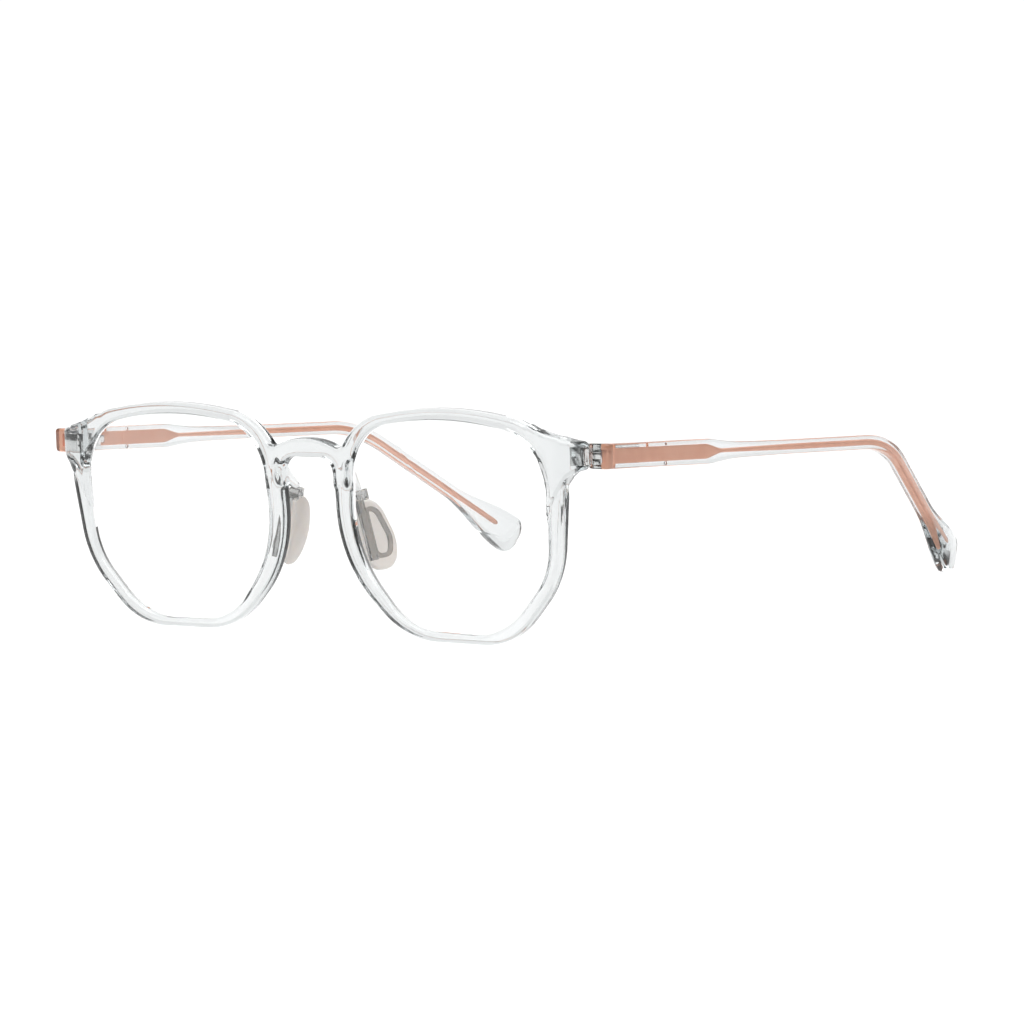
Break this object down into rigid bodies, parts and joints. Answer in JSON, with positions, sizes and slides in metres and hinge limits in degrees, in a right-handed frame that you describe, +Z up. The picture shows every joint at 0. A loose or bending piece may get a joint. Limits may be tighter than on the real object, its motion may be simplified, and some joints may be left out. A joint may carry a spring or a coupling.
{
  "type": "eyeglasses",
  "caption": "Clear plastic eyeglasses with rounded hexagonal rims, blue light filter lenses, soft nose pads and folding temples that have a metal core.",
  "frame": {"origin": "on the ground under the middle of the whole box of the open glasses", "axes": "+X to the wearer's left, +Y back along the temples, +Z up"},
  "size_m": [0.1472, 0.1479, 0.0471],
  "materials": {
    "clear_frame": "polished clear moulded plastic",
    "clear_temple": "polished clear plastic moulded over the core",
    "lens": "coated plain lens with a faint residual tint",
    "core_rose": "satin rose plating",
    "hinge_steel": "bright nickel silver",
    "screw_steel": "turned steel",
    "clear_insert": "hard clear plastic",
    "silicone": "soft milky silicone"
  },
  "bodies": {
    "front": {"front_frame": "clear_frame", "lens_left": "lens", "lens_right": "lens", "hinge_front_left": "hinge_steel", "hinge_front_right": "hinge_steel", "hinge_screw_left": "screw_steel", "hinge_screw_right": "screw_steel", "pad_insert_left": "clear_insert", "pad_insert_right": "clear_insert", "nose_pad_left": "silicone", "nose_pad_right": "silicone"},
    "left_temple": {"hinge_temple_left": "hinge_steel", "temple_core_left": "core_rose", "temple_sheath_left": "clear_temple"},
    "right_temple": {"hinge_temple_right": "hinge_steel", "temple_core_right": "core_rose", "temple_sheath_right": "clear_temple"}
  },
  "joints": [
    {"name": "left_temple_fold", "type": "hinge", "parent": "front", "child": "left_temple", "pos_m": [0.0669, -0.0673, 0.03795], "axis": [0, 0, 1], "range_deg": [0, 86]},
    {"name": "right_temple_fold", "type": "hinge", "parent": "front", "child": "right_temple", "pos_m": [-0.0669, -0.0673, 0.03795], "axis": [0, 0, -1], "range_deg": [0, 78]}
  ]
}
